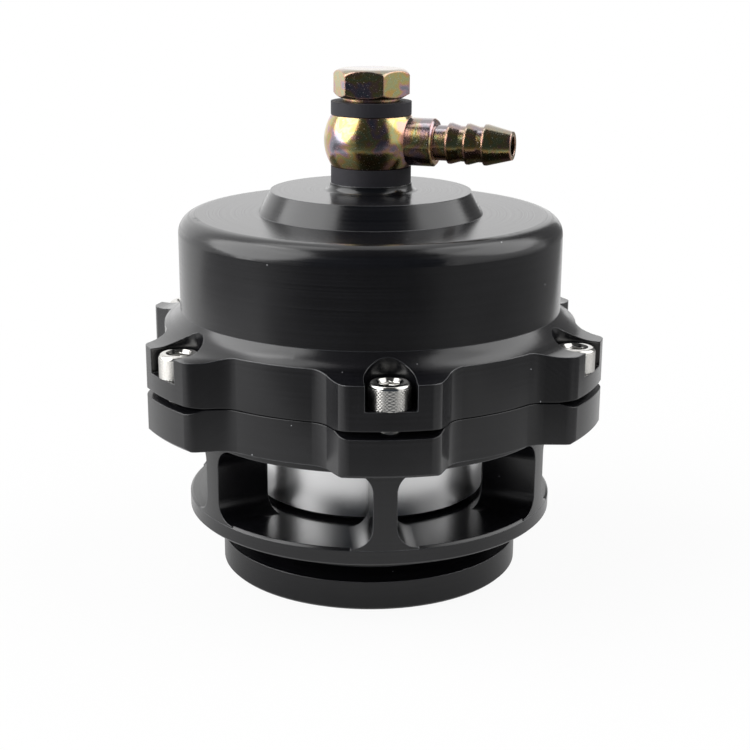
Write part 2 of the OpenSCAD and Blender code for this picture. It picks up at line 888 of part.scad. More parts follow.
valve_body();
guide_bush();
guide_seal();
valve_piston();
valve_seal();
diaphragm();
retainer_plate();
retainer_washer();
retainer_bolt();
spring();
top_cap();
cap_screws();
lower_seal_washer();
banjo_fitting();
upper_seal_washer();
banjo_bolt();
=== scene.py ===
# %% [markdown]
# # A blow off valve in black, silver and gold
#
# The CAD model is the frame: each of its pieces already has its true size and place.
# This script dresses the pieces, lights them, and looks at them as the photograph does.
# First it loads the frame and measures it, before anything is added.

import json
import math

import bpy
from mathutils import Euler, Matrix, Vector


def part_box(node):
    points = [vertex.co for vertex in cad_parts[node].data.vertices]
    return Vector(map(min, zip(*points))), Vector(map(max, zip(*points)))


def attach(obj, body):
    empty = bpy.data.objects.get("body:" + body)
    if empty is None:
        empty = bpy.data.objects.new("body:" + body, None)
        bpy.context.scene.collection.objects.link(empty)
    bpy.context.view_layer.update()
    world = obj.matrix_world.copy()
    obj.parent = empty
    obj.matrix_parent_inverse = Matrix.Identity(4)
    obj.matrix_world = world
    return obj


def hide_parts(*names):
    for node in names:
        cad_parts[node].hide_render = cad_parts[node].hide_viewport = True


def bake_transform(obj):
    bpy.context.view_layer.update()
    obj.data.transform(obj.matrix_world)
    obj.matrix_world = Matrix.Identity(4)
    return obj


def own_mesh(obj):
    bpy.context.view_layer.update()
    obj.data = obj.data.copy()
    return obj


MM = 0.001

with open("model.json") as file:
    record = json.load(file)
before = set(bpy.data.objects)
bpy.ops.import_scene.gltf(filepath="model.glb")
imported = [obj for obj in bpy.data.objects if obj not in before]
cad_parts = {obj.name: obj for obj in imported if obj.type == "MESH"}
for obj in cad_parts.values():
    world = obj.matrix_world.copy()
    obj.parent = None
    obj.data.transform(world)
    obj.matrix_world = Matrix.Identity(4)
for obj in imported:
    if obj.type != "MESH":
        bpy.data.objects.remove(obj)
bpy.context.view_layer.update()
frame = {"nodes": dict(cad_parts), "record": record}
nodes = frame["nodes"]
print("pieces:", len(nodes))

# %% [markdown]
# ## Colours and nodes
#
# Colours are written as sRGB hex, the way a colour picker shows them.
# Shaders work in linear light, so one function turns the one into the other.
# A second function adds a node and fills its inputs, with values or with other nodes' outputs.
# Inputs go by name, or by number where names repeat: a mix of colours has its share at 0,
# its two colours at 6 and 7, and the mixed colour at output 2.
# A third starts a finish: a new material, and the place of each point on the piece, in metres.
# A fourth draws the marks of a lathe tool, because most pieces here are turned about the Z axis.

# %% Helpers for finishes
def linear(code):
    """The linear colour of an sRGB hex code."""
    channels = [int(code[i : i + 2], 16) / 255 for i in (1, 3, 5)]
    bent = [c / 12.92 if c <= 0.04045 else ((c + 0.055) / 1.055) ** 2.4 for c in channels]
    return (*bent, 1)


def add(tree, kind, inputs, **settings):
    """A new node in the tree, with its settings and its inputs filled."""
    made = tree.nodes.new(kind)
    for name, value in settings.items():
        setattr(made, name, value)
    for socket, value in inputs.items():
        if isinstance(value, bpy.types.NodeSocket):
            tree.links.new(value, made.inputs[socket])
        else:
            made.inputs[socket].default_value = value
    return made


def start(name):
    """A new material, its node tree, its shader's inputs, and the place of each point."""
    material = bpy.data.materials.new(name)
    material.use_nodes = True
    tree = material.node_tree
    place = add(tree, "ShaderNodeTexCoord", {}).outputs["Object"]
    return material, tree, tree.nodes["Principled BSDF"].inputs, place


def turning(tree, place, pitch):
    """Marks of a lathe tool: they change with the radius on a face and with the height on a wall."""
    flat = add(tree, "ShaderNodeVectorMath", {0: place, 1: (1, 1, 0)}, operation="MULTIPLY")
    radius = add(tree, "ShaderNodeVectorMath", {0: flat.outputs[0]}, operation="LENGTH")
    height = add(tree, "ShaderNodeSeparateXYZ", {0: place})
    along = add(tree, "ShaderNodeMath", {0: radius.outputs["Value"], 1: height.outputs["Z"]})
    marks = {"W": along.outputs[0], "Scale": 1 / pitch, "Detail": 3}
    return add(tree, "ShaderNodeTexNoise", marks, noise_dimensions="1D").outputs[0]


print("middle grey as the shader takes it:", [round(c, 3) for c in linear("#808080")])

# %% [markdown]
# ## Black anodised aluminium
#
# The body and the cap are turned, then dyed black in a clear oxide skin.
# The skin gives the eye a deep black that shines most where light grazes it.
# The marks could be wrapped round the parts as an image.
# Noise that follows the lathe's path is used instead: it needs no unwrapping and shows no seam.
# It varies the gloss and, together with slower clouds, the depth of the dye.
# Real tool marks are about a tenth of a millimetre apart, too fine to show, so both sets are coarser.

# %% Black: gloss and dye
TOOL_GLOSS = 0.3 * MM
TOOL_LINES = 0.6 * MM
DYE_CLOUDS = 12 * MM
black, tree, inputs, place = start("Black anodised aluminium, satin turned")
marks = turning(tree, place, TOOL_GLOSS)
gloss = {"Value": marks, "From Min": 0.3, "From Max": 0.7, "To Min": 0.17, "To Max": 0.24}
tree.links.new(add(tree, "ShaderNodeMapRange", gloss).outputs[0], inputs["Roughness"])
inputs["IOR"].default_value = 1.52  # the skin is porous, so it bends light less than solid alumina's 1.76

lines = turning(tree, place, TOOL_LINES)
cloud = {"Vector": place, "Scale": 1 / DYE_CLOUDS, "Detail": 4}
cloud = add(tree, "ShaderNodeTexNoise", cloud).outputs[0]
depth = add(tree, "ShaderNodeMath", {0: cloud, 1: lines}, operation="MULTIPLY").outputs[0]
depth = {"Value": depth, "From Min": 0.08, "From Max": 0.42}
depth = add(tree, "ShaderNodeMapRange", depth).outputs[0]
dye = add(tree, "ShaderNodeValToRGB", {0: depth})
dye.color_ramp.elements[0].color = linear("#09090c")
dye.color_ramp.elements[1].color = linear("#17171a")
print("tool lines and clouds in the dye, mm:", round(TOOL_LINES / MM, 2), round(DYE_CLOUDS / MM, 2))

# %% [markdown]
# The edges of the black pieces are broken by a few tenths of a millimetre, and a little worn there.
# They could be bevelled in the mesh, but the CAD's meshes stay as they are.
# So a bevel node rounds the shading instead, and wear shows where its direction leaves the true one.
# A few specks of dust catch the light. Where cap and body meet they shield each other, so no wear shows.

# %% Black: dust, worn edges and relief
DUST_SPACING, DUST_RADIUS = 6 * MM, 0.15 * MM
BROKEN_EDGE, BEVEL_SAMPLES = 0.3 * MM, 6
JOINT, JOINT_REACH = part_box("top_cap")[0].z, 1 * MM
LINE_DEPTH = 0.01 * MM
specks = {"Vector": place, "Scale": 1 / DUST_SPACING}
specks = add(tree, "ShaderNodeTexVoronoi", specks).outputs["Distance"]
dust = {0: specks, 1: DUST_RADIUS / DUST_SPACING}
dust = add(tree, "ShaderNodeMath", dust, operation="LESS_THAN").outputs[0]
dusty = {0: dust, 6: dye.outputs[0], 7: linear("#9c9da0")}
dusty = add(tree, "ShaderNodeMix", dusty, data_type="RGBA").outputs[2]
facing = add(tree, "ShaderNodeNewGeometry", {}).outputs["Normal"]
edge = add(tree, "ShaderNodeBevel", {"Radius": BROKEN_EDGE}, samples=BEVEL_SAMPLES).outputs[0]
corner = {0: facing, 1: edge}
corner = add(tree, "ShaderNodeVectorMath", corner, operation="DOT_PRODUCT").outputs["Value"]
corner = {"Value": corner, "From Min": 0.99, "From Max": 0.8, "To Min": 0, "To Max": 0.8}
corner = add(tree, "ShaderNodeMapRange", corner).outputs[0]
uneven = {"Value": cloud, "From Min": 0.35, "From Max": 0.6, "To Min": 0.3, "To Max": 1}
uneven = add(tree, "ShaderNodeMapRange", uneven).outputs[0]
wear = add(tree, "ShaderNodeMath", {0: corner, 1: uneven}, operation="MULTIPLY").outputs[0]
height = add(tree, "ShaderNodeSeparateXYZ", {0: place}).outputs["Z"]
joint = {0: height, 1: JOINT, 2: JOINT_REACH}
joint = add(tree, "ShaderNodeMath", joint, operation="COMPARE").outputs[0]
wear = {"Value": joint, "To Min": wear, "To Max": 0}
wear = add(tree, "ShaderNodeMapRange", wear).outputs[0]
worn = {0: wear, 6: dusty, 7: linear("#7a7b7e")}
worn = add(tree, "ShaderNodeMix", worn, data_type="RGBA").outputs[2]
tree.links.new(worn, inputs["Base Color"])
relief = {"Height": lines, "Distance": LINE_DEPTH, "Strength": 0.35, "Normal": edge}
tree.links.new(add(tree, "ShaderNodeBump", relief).outputs[0], inputs["Normal"])
print("made:", black.name, "with no wear where cap and body meet, at", round(JOINT / MM, 2), "mm")

# %% [markdown]
# ## Bare aluminium
#
# The piston is turned and left bare.
# It gives the eye a soft, even silver, and light drawn out across the tool's marks.
# Marks too fine to model are left to the shader's own anisotropy.
# The noise on top is coarser than the real marks, so that it shows.

# %% Bare aluminium
PISTON_MARKS = 0.15 * MM
silver, tree, inputs, place = start("Bare aluminium, finely turned")
marks = turning(tree, place, PISTON_MARKS)
tone = add(tree, "ShaderNodeValToRGB", {0: marks})
tone.color_ramp.elements[0].color = linear("#eeeeef")
tone.color_ramp.elements[1].color = linear("#f8f8f8")
tree.links.new(tone.outputs[0], inputs["Base Color"])
gloss = {"Value": marks, "From Min": 0.3, "From Max": 0.7, "To Min": 0.29, "To Max": 0.34}
tree.links.new(add(tree, "ShaderNodeMapRange", gloss).outputs[0], inputs["Roughness"])
inputs["Metallic"].default_value = 1
inputs["Anisotropic"].default_value = 0.4
print("made:", silver.name, "with marks of", round(PISTON_MARKS / MM, 2), "mm")

# %% [markdown]
# ## Stainless screws
#
# The screw heads are knurled on their sides and polished on top.
# That gives the eye a sparkling grey band under a bright ring.
# The knurl could be cut as hundreds of small teeth, but at this size bump looks the same.
# A surface that faces sideways tells by its direction where it lies round its own screw.
# Crossing that angle with the height gives the knurl's two sets of grooves.

# %% Stainless steel: knurl
KNURL_TEETH = 38
KNURL_RISE, KNURL_DEPTH = 0.7 * MM, 0.06 * MM
SIDEWAYS = 0.15  # a surface whose direction rises or falls by less than this is a side
stainless, tree, inputs, place = start("Stainless steel, knurled side and polished top")
facing = add(tree, "ShaderNodeNewGeometry", {}).outputs["Normal"]
way = add(tree, "ShaderNodeSeparateXYZ", {0: facing}).outputs
angle = {0: way["Y"], 1: way["X"]}
angle = add(tree, "ShaderNodeMath", angle, operation="ARCTAN2").outputs[0]
tooth = {0: angle, 1: KNURL_TEETH}
tooth = add(tree, "ShaderNodeMath", tooth, operation="MULTIPLY").outputs[0]
height = add(tree, "ShaderNodeSeparateXYZ", {0: place}).outputs["Z"]
climb = {0: height, 1: math.tau / KNURL_RISE}
climb = add(tree, "ShaderNodeMath", climb, operation="MULTIPLY").outputs[0]
waves = []
for operation in ("ADD", "SUBTRACT"):
    phase = add(tree, "ShaderNodeMath", {0: tooth, 1: climb}, operation=operation).outputs[0]
    waves.append(add(tree, "ShaderNodeMath", {0: phase}, operation="SINE").outputs[0])
knurl = {0: waves[0], 1: waves[1]}
knurl = add(tree, "ShaderNodeMath", knurl, operation="MAXIMUM").outputs[0]
tilt = add(tree, "ShaderNodeMath", {0: way["Z"]}, operation="ABSOLUTE").outputs[0]
side = {0: tilt, 1: SIDEWAYS}
side = add(tree, "ShaderNodeMath", side, operation="LESS_THAN").outputs[0]
relief = {"Height": knurl, "Distance": KNURL_DEPTH, "Strength": side}
tree.links.new(add(tree, "ShaderNodeBump", relief).outputs[0], inputs["Normal"])
print("knurl:", KNURL_TEETH, "teeth round each head")

# %% Stainless steel: gloss and tone
STEEL_GRAIN = 0.4 * MM  # coarser than the real grain, so that it shows
gloss = {"Value": side, "To Min": 0.14, "To Max": 0.34}
tree.links.new(add(tree, "ShaderNodeMapRange", gloss).outputs[0], inputs["Roughness"])
grain = {"Vector": place, "Scale": 1 / STEEL_GRAIN, "Detail": 2}
grain = add(tree, "ShaderNodeTexNoise", grain).outputs[0]
tone = add(tree, "ShaderNodeValToRGB", {0: grain})
tone.color_ramp.elements[0].color = linear("#aaa8a4")
tone.color_ramp.elements[1].color = linear("#d6d4d0")
tree.links.new(tone.outputs[0], inputs["Base Color"])
inputs["Metallic"].default_value = 1
print("made:", stainless.name)

# %% [markdown]
# ## Yellow passivated zinc
#
# The hose fitting and its bolt are zinc plated and dipped in a yellow passivate.
# The film's thickness wanders, so to the eye gold runs into pale green, pink and violet.
# The shader could work the colours out from a thickness.
# They are known from the look of such plating, so a ramp over noise gives them straight away.

# %% Yellow zinc: film
FILM = 6  # picks one of the many patterns that the film could have
FILM_PATCHES = 5.5 * MM
gold, tree, inputs, place = start("Zinc plate, yellow passivated")
film = {"Vector": place, "W": FILM, "Scale": 1 / FILM_PATCHES, "Detail": 3, "Distortion": 0.6}
film = add(tree, "ShaderNodeTexNoise", film, noise_dimensions="4D").outputs[0]
tint = add(tree, "ShaderNodeValToRGB", {0: film})
stops = tint.color_ramp.elements
stops[0].position, stops[0].color = 0.36, linear("#87858f")
stops[1].position, stops[1].color = 0.66, linear("#bd8f80")
for at, film_colour in (
    (0.41, "#a58b97"),
    (0.45, "#bd947f"),
    (0.49, "#b6a365"),
    (0.54, "#a4a97c"),
    (0.59, "#bf9f5c"),
):
    stops.new(at).color = linear(film_colour)
print("film:", len(stops), "colours in patches of about", round(FILM_PATCHES / MM, 2), "mm")

# %% [markdown]
# At the corners the film is thicker and turns to a warm pink, and spanners have greyed the top.
# A grain of dull grey breaks up what the metal mirrors. It is drawn coarser than the real one.
# The edges are rounded in the shading, so that each barb shows a bright line.

# %% Yellow zinc: corners, top and grain
WARM_CORNER, ROUNDED_EDGE = 0.9 * MM, 0.4 * MM
ZINC_GRAIN, ZINC_RELIEF = 0.28 * MM, 0.02 * MM
facing = add(tree, "ShaderNodeNewGeometry", {}).outputs["Normal"]
around = add(tree, "ShaderNodeBevel", {"Radius": WARM_CORNER}, samples=BEVEL_SAMPLES).outputs[0]
corner = {0: facing, 1: around}
corner = add(tree, "ShaderNodeVectorMath", corner, operation="DOT_PRODUCT").outputs["Value"]
corner = {"Value": corner, "From Min": 0.995, "From Max": 0.93, "To Min": 0, "To Max": 0.8}
corner = add(tree, "ShaderNodeMapRange", corner).outputs[0]
warm = {0: corner, 6: tint.outputs[0], 7: linear("#c69486")}
warm = add(tree, "ShaderNodeMix", warm, data_type="RGBA").outputs[2]
upward = add(tree, "ShaderNodeSeparateXYZ", {0: facing}).outputs["Z"]
upward = {"Value": upward, "From Min": 0.5, "From Max": 0.9, "To Min": 0, "To Max": 0.7}
upward = add(tree, "ShaderNodeMapRange", upward).outputs[0]
handled = {0: upward, 6: warm, 7: linear("#a39c9c")}
handled = add(tree, "ShaderNodeMix", handled, data_type="RGBA").outputs[2]
grain = {"Vector": place, "Scale": 1 / ZINC_GRAIN, "Detail": 2}
grain = add(tree, "ShaderNodeTexNoise", grain).outputs[0]
dull = {"Value": grain, "From Min": 0.63, "From Max": 0.75, "To Min": 0, "To Max": 1}
dull = add(tree, "ShaderNodeMapRange", dull).outputs[0]
dulled = {0: dull, 6: handled, 7: linear("#b0a9aa")}
dulled = add(tree, "ShaderNodeMix", dulled, data_type="RGBA").outputs[2]
tree.links.new(dulled, inputs["Base Color"])
gloss = {"Value": dull, "To Min": 0.16, "To Max": 0.5}
tree.links.new(add(tree, "ShaderNodeMapRange", gloss).outputs[0], inputs["Roughness"])
edge = add(tree, "ShaderNodeBevel", {"Radius": ROUNDED_EDGE}, samples=BEVEL_SAMPLES).outputs[0]
relief = {"Height": grain, "Distance": ZINC_RELIEF, "Strength": 0.5, "Normal": edge}
tree.links.new(add(tree, "ShaderNodeBump", relief).outputs[0], inputs["Normal"])
inputs["Metallic"].default_value = 1
print("made:", gold.name)

# %% [markdown]
# ## Steel inside the valve
#
# The retainer, its washer and its bolt are zinc plated: to the eye bluish and a little cloudy.
# The spring is drawn wire, darker, with streaks that run along it, drawn coarser than the real ones.
# Images of such surfaces could be used, but the pieces are hidden, so one noise each is enough.

# %% Zinc plate and spring wire
ZINC_CLOUDS, WIRE_STREAKS = 4 * MM, 0.12 * MM
zinc, tree, inputs, place = start("Zinc plate, clear passivated")
cloud = {"Vector": place, "Scale": 1 / ZINC_CLOUDS, "Detail": 5}
cloud = add(tree, "ShaderNodeTexNoise", cloud).outputs[0]
tone = add(tree, "ShaderNodeValToRGB", {0: cloud})
tone.color_ramp.elements[0].color = linear("#a9adb4")
tone.color_ramp.elements[1].color = linear("#cdd1d6")
tree.links.new(tone.outputs[0], inputs["Base Color"])
gloss = {"Value": cloud, "To Min": 0.2, "To Max": 0.45}
tree.links.new(add(tree, "ShaderNodeMapRange", gloss).outputs[0], inputs["Roughness"])
inputs["Metallic"].default_value = 1

wire, tree, inputs, place = start("Spring steel, drawn wire")
drawn = turning(tree, place, WIRE_STREAKS)
tone = add(tree, "ShaderNodeValToRGB", {0: drawn})
tone.color_ramp.elements[0].color = linear("#6d6e72")
tone.color_ramp.elements[1].color = linear("#a2a3a8")
tree.links.new(tone.outputs[0], inputs["Base Color"])
gloss = {"Value": drawn, "To Min": 0.22, "To Max": 0.42}
tree.links.new(add(tree, "ShaderNodeMapRange", gloss).outputs[0], inputs["Roughness"])
inputs["Metallic"].default_value = 1
print("made:", zinc.name, "and", wire.name)

# %% [markdown]
# ## Rubber, fibre and plastic
#
# The seals and the diaphragm are moulded rubber, the washers dark fibre, the guide band white plastic.
# To the eye each is matt, with a grain of its own: fine on rubber, coarse on fibre, faint on plastic.
# Real grain is finer on all three, and is drawn as coarse as it needs to show.
# They could be made one by one, but they differ only in colours and sizes, so one loop makes them.

# %% Rubber, fibre and plastic
soft = []
for name, dark, pale, grain_size, depth, roughness in (
    ("Moulded rubber, black", "#161617", "#232325", 0.25 * MM, 0.02 * MM, 0.62),
    ("Pressed fibre, dark violet grey", "#1b1a20", "#27252d", 0.5 * MM, 0.05 * MM, 0.7),
    ("Guide band plastic, white", "#d9d8d2", "#e9e8e4", 0.8 * MM, 0.01 * MM, 0.4),
):
    material, tree, inputs, place = start(name)
    grain = {"Vector": place, "Scale": 1 / grain_size, "Detail": 4}
    grain = add(tree, "ShaderNodeTexNoise", grain).outputs[0]
    tone = add(tree, "ShaderNodeValToRGB", {0: grain})
    tone.color_ramp.elements[0].color = linear(dark)
    tone.color_ramp.elements[1].color = linear(pale)
    tree.links.new(tone.outputs[0], inputs["Base Color"])
    relief = {"Height": grain, "Distance": depth, "Strength": 0.6}
    tree.links.new(add(tree, "ShaderNodeBump", relief).outputs[0], inputs["Normal"])
    inputs["Roughness"].default_value = roughness
    soft.append(material)
rubber, fibre, plastic = soft
print("made:", [material.name for material in soft])

# %% [markdown]
# ## Dress the pieces
#
# The record names a finish for each CAD piece.
# Pieces could be dressed one by one, but a table of finishes and the record do it in one loop.

# %% Dress the pieces
finishes = {
    "black_anodised_aluminium": black,
    "bright_aluminium": silver,
    "stainless_steel": stainless,
    "zinc_steel": zinc,
    "spring_steel": wire,
    "yellow_zinc_steel": gold,
    "black_rubber": rubber,
    "dark_fibre": fibre,
    "white_guide_plastic": plastic,
}
for part in frame["record"]["subparts"]:
    mesh = nodes[part["node"]].data
    mesh.materials.clear()
    mesh.materials.append(finishes[part["material_slot"]])

# %% [markdown]
# ## Spring
#
# The frame's spring is coarse, and it is as long as when the valve is shut.
# A finer coil takes its place: a closed turn at each end, ground flat, and even turns between them.
# A curve with a round bevel could make it, but its ends couldn't be ground flat.
# So rings of points are laid along the helix, and those past the ends are pressed flat.

# %% Spring: its rings
WIRE, TURNS, CLOSED = 2.8 * MM, 5.5, 1
RINGS_PER_TURN, SIDES = 48, 16
END_HEIGHT = 0.2 * WIRE  # how high the wire's middle starts above the ground end
CLOSED_RISE = 1.04 * WIRE  # a closed turn climbs a little more than the wire's thickness
low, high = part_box("spring")
coil = high.x - WIRE / 2
length = high.z - low.z
working = length - 2 * END_HEIGHT - 2 * CLOSED_RISE
points, faces = [], []
for i in range(round(TURNS * RINGS_PER_TURN) + 1):
    turn = i / RINGS_PER_TURN
    closed = min(turn, CLOSED) + max(turn - TURNS + CLOSED, 0)
    share = min(max(turn - CLOSED, 0) / (TURNS - 2 * CLOSED), 1)
    middle = low.z + END_HEIGHT + CLOSED_RISE * closed + working * share
    for k in range(SIDES):
        round_wire = math.tau * k / SIDES
        radius = coil + WIRE / 2 * math.cos(round_wire)
        height = middle + WIRE / 2 * math.sin(round_wire)
        height = min(max(height, low.z), high.z)
        points.append((radius * math.cos(math.tau * turn), radius * math.sin(math.tau * turn), height))
        if i:
            near, far = (i - 1) * SIDES, i * SIDES
            faces.append((near + k, far + k, far + (k + 1) % SIDES, near + (k + 1) % SIDES))
faces.append(tuple(range(SIDES)))
faces.append(tuple(range(len(points) - 1, len(points) - 1 - SIDES, -1)))
print("spring:", round(length / MM, 2), "mm long,", len(faces), "faces")

# %% [markdown]
# The coil stays with the housing. It is not squeezed here, though lifting the valve squeezes it against its
# seat in the cap.

# %% Spring: put in place
SHARP = math.radians(40)


def new_piece(name, points, faces, material):
    """A new piece of the valve, smooth but for its sharp edges."""
    mesh = bpy.data.meshes.new(name)
    mesh.from_pydata(points, [], faces)
    mesh.shade_smooth()
    mesh.set_sharp_from_angle(angle=SHARP)
    mesh.materials.append(material)
    piece = bpy.data.objects.new(name, mesh)
    bpy.context.scene.collection.objects.link(piece)
    return piece


spring = new_piece("coil_spring", points, faces, wire)
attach(spring, "housing")
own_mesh(spring)
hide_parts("spring")

# %% [markdown]
# ## Diaphragm
#
# The rubber diaphragm is clamped in the housing at its rim and to the piston in its middle.
# It is turned here from the same outline as the CAD's.
# A screw modifier could turn it too. A loop puts extra rows in the outer limb, which has to stretch.
# Here it is one still piece: in use the rim stays with the housing, the fold and the middle follow the
# piston, and the limb stretches between them.

# %% Diaphragm: its outline
THICK, HOLE = 1.4 * MM, 4.2 * MM
FOLD_OUT, FOLD = 37.2 * MM, 3.55 * MM  # the outer limb's radius, and the fold's own
LIMB_ROWS, FOLD_STEPS = 8, 16
low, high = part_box("diaphragm")
fold_middle = FOLD_OUT - FOLD
fold_inside = FOLD - THICK
fold_z = low.z + FOLD
rim_under = high.z - THICK
middle_top, middle_under = fold_z + THICK / 2, fold_z - THICK / 2
limb = [fold_z + (rim_under - fold_z) * i / LIMB_ROWS for i in range(1, LIMB_ROWS)]
bends = [math.pi * (1 + i / FOLD_STEPS) for i in range(FOLD_STEPS + 1)]
outline = [(HOLE, middle_under), (fold_middle - FOLD, middle_under)]
outline += [(fold_middle + FOLD * math.cos(a), fold_z + FOLD * math.sin(a)) for a in bends]
outline += [(FOLD_OUT, z) for z in limb]
outline += [(FOLD_OUT, rim_under), (high.x, rim_under), (high.x, high.z), (FOLD_OUT - THICK, high.z)]
outline += [(FOLD_OUT - THICK, z) for z in reversed(limb)]
bends.reverse()
outline += [(fold_middle + fold_inside * math.cos(a), fold_z + fold_inside * math.sin(a)) for a in bends]
outline += [(fold_middle - fold_inside, middle_top), (HOLE, middle_top)]
print("diaphragm:", len(outline), "points in its outline, rim at", round(rim_under / MM, 2), "mm")

# %% Diaphragm: turned and put in place
AROUND = 96
points, faces = [], []
for i in range(AROUND):
    turn = math.tau * i / AROUND
    for k, (radius, height) in enumerate(outline):
        points.append((radius * math.cos(turn), radius * math.sin(turn), height))
        here, there = i * len(outline), (i + 1) % AROUND * len(outline)
        after = (k + 1) % len(outline)
        faces.append((here + k, there + k, there + after, here + after))
rolling = new_piece("rolling_diaphragm", points, faces, rubber)
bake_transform(rolling)
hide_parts("diaphragm")
print("diaphragm:", len(faces), "faces")

# %% [markdown]
# ## Floor and background
#
# The valve stands on a white sheet under a white sky.
# A sheet that lamps alone light would turn grey and show a horizon.
# So near the valve it is mostly white of its own and keeps a faint shadow, and further out it is all white.
# Mirrored rays see only its own white glow, with painted shade: dimmer in front, at the right and close to
# the valve, where less light reaches it.

# %% Floor: paper, and its own white
FLOOR_SIZE = 6
PAPER_FIBRES = 2 * MM
SHADOW_NEAR, SHADOW_END, NEAR_WHITE = 0.06, 0.25, 0.93
bpy.ops.mesh.primitive_plane_add(size=FLOOR_SIZE)
floor = bpy.context.object
floor.name = "white sheet"
sheet, tree, inputs, place = start("White paper sheet")
fibres = {"Vector": place, "Scale": 1 / PAPER_FIBRES, "Detail": 4}
fibres = add(tree, "ShaderNodeTexNoise", fibres).outputs[0]
tone = add(tree, "ShaderNodeValToRGB", {0: fibres})
tone.color_ramp.elements[0].color = linear("#eeeeee")
tone.color_ramp.elements[1].color = linear("#f4f4f4")
tree.links.new(tone.outputs[0], inputs["Base Color"])
inputs["Roughness"].default_value = 0.9
ray = add(tree, "ShaderNodeLightPath", {}).outputs
out = add(tree, "ShaderNodeVectorMath", {0: place}, operation="LENGTH").outputs["Value"]
fade = {"Value": out, "From Min": SHADOW_NEAR, "From Max": SHADOW_END, "To Min": NEAR_WHITE, "To Max": 1}
fade = add(tree, "ShaderNodeMapRange", fade, interpolation_type="SMOOTHSTEP").outputs[0]
own_white = {0: ray["Is Camera Ray"], 1: fade}
own_white = add(tree, "ShaderNodeMath", own_white, operation="MULTIPLY").outputs[0]
for kind in ("Is Glossy Ray", "Is Transmission Ray"):
    own_white = {0: own_white, 1: ray[kind]}
    own_white = add(tree, "ShaderNodeMath", own_white, operation="MAXIMUM").outputs[0]
print("floor:", FLOOR_SIZE, "m of", sheet.name)

# %% Floor: what mirrored rays see, a glow with painted shade
TOWARDS_LIGHT = (-0.6, 0.8, 0)  # back and left, where the sheet is brightest
DIM_REACH = 0.1
SHADE_NEAR, SHADE_END = 0.03, 0.075
# The glow is painted dimmer towards the front and right, and a painted shadow darkens it close to the
# valve.
painted_light_falloff = {0: place, 1: TOWARDS_LIGHT}
painted_light_falloff = add(tree, "ShaderNodeVectorMath", painted_light_falloff, operation="DOT_PRODUCT").outputs["Value"]
painted_light_falloff = {"Value": painted_light_falloff, "From Min": -DIM_REACH, "From Max": DIM_REACH, "To Min": 0.7, "To Max": 1}
painted_light_falloff = add(tree, "ShaderNodeMapRange", painted_light_falloff).outputs[0]
painted_shade_near_valve = {"Value": out, "From Min": SHADE_NEAR, "From Max": SHADE_END, "To Min": 0.5, "To Max": 1}
painted_shade_near_valve = add(tree, "ShaderNodeMapRange", painted_shade_near_valve).outputs[0]
mirrored = {0: painted_light_falloff, 1: painted_shade_near_valve}
mirrored = add(tree, "ShaderNodeMath", mirrored, operation="MULTIPLY").outputs[0]
strength = {"Value": ray["Is Glossy Ray"], "To Min": 1, "To Max": mirrored}
strength = add(tree, "ShaderNodeMapRange", strength).outputs[0]
glow = add(tree, "ShaderNodeEmission", {"Color": linear("#ffffff"), "Strength": strength})
shown = {0: own_white, 1: tree.nodes["Principled BSDF"].outputs[0], 2: glow.outputs[0]}
shown = add(tree, "ShaderNodeMixShader", shown)
tree.links.new(shown.outputs[0], tree.nodes["Material Output"].inputs["Surface"])
floor.data.materials.append(sheet)
print("floor:", floor.name, "is part of the stage")

# %% Background
FILL = 0.2  # how much of the sky's white lights the valve
world = bpy.data.worlds.new("white studio")
bpy.context.scene.world = world
world.use_nodes = True
tree = world.node_tree
ray = add(tree, "ShaderNodeLightPath", {}).outputs
seen = ray["Is Camera Ray"]
for kind in ("Is Glossy Ray", "Is Transmission Ray"):
    seen = add(tree, "ShaderNodeMath", {0: seen, 1: ray[kind]}, operation="MAXIMUM").outputs[0]
level = {"Value": seen, "To Min": FILL, "To Max": 1}
level = add(tree, "ShaderNodeMapRange", level).outputs[0]
tree.links.new(level, tree.nodes["Background"].inputs["Strength"])
tree.nodes["Background"].inputs["Color"].default_value = linear("#ffffff")
print("background:", world.name)

# %% [markdown]
# ## Softboxes
#
# Two large softboxes stand beside the valve, the left one brighter, and a third hangs over it.
# They draw the pale bands on the cap's rounded edge, on its boss and on the sweep above the ears.
# A weak lamp behind the valve makes the flat black tops shine a little more.
# A picture of a studio could light it all, but lamps of known size and place are easier to match.
# They are oval, so that no corner of theirs shows in the bands.
# A lamp's power in watts is pi times its radiance times its area.

# %% Softboxes
TURN = math.radians(-4.8)  # the photograph looks along +Y turned by this much
towards_photo = Matrix.Rotation(TURN, 4, "Z")
softboxes = (  # name, centre, point it faces and size, all in metres, then radiance
    ("left softbox", (-0.62, -0.18, 0.75), (0, -0.18, 0.75), (1.06, 1.4), 3.3),
    ("overhead softbox", (-0.38, 0.2, 1.0), (0, 0, 0.1), (0.55, 0.5), 1.8),
    ("right softbox", (0.7, 0.1, 0.7), (0, 0.1, 0.07), (1.0, 1.15), 2),
    ("lamp behind", (-0.2, 1.1, 0.35), (0, 0, 0.1), (2, 1), 0.3),
)
for name, centre, aim, size, radiance in softboxes:
    lamp = bpy.data.lights.new(name, "AREA")
    lamp.shape = "ELLIPSE"
    lamp.size, lamp.size_y = size
    lamp.energy = radiance * math.pi * (math.pi / 4 * lamp.size * lamp.size_y)
    box = bpy.data.objects.new(name, lamp)
    bpy.context.scene.collection.objects.link(box)
    box.location = towards_photo @ Vector(centre)
    facing = towards_photo @ Vector(aim) - box.location
    box.rotation_euler = facing.to_track_quat("-Z", "Y").to_euler()
    box.visible_camera = False
    print(name, "gives", round(lamp.energy, 2), "W")

# %% [markdown]
# ## Cards
#
# Anodised and plated metal show what stands round them more than they show their own colour.
# The world could be made darker for mirrored rays, but then it would be so on every side.
# So a dim room is built round the white sheet, from plain cards that only mirrored rays see:
# a table beside and before the sheet, the room behind the camera, the ceiling,
# and a dark corner at the right.

